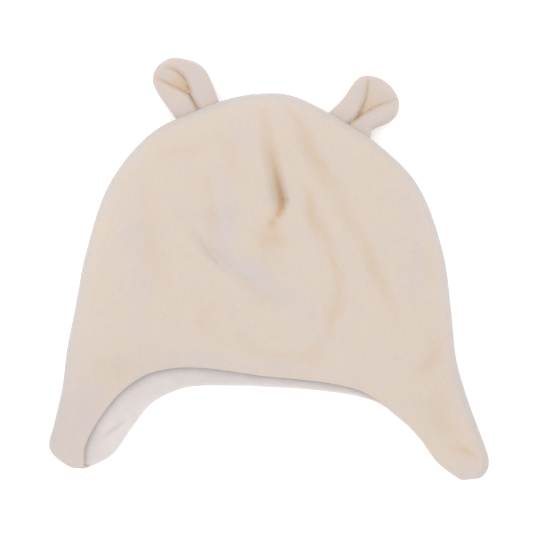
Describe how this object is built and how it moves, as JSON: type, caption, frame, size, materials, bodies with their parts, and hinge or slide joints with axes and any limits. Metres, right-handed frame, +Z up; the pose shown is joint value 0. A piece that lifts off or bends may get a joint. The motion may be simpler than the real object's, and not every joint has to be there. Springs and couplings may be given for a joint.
{
  "type": "baby hat with ears",
  "caption": "Soft baby hat with small folded ears on the crown and flaps that cover the wearer's ears, lying flat.",
  "frame": {"origin": "on the back panel's flat underside, halfway between the crown and the flap tips", "axes": "+Y towards the crown, +X towards the right flap as the picture shows it, +Z up out of the front panel"},
  "size_m": [0.2247, 0.217, 0.0381],
  "materials": {
    "peach_cream_velour": "soft short pile",
    "off_white_jersey": "fine matt knit"
  },
  "bodies": {
    "root": {"front_panel": "peach_cream_velour", "back_panel": "peach_cream_velour", "front_lining": "off_white_jersey", "back_lining": "off_white_jersey", "left_ear": "peach_cream_velour", "right_ear": "peach_cream_velour"}
  },
  "joints": []
}
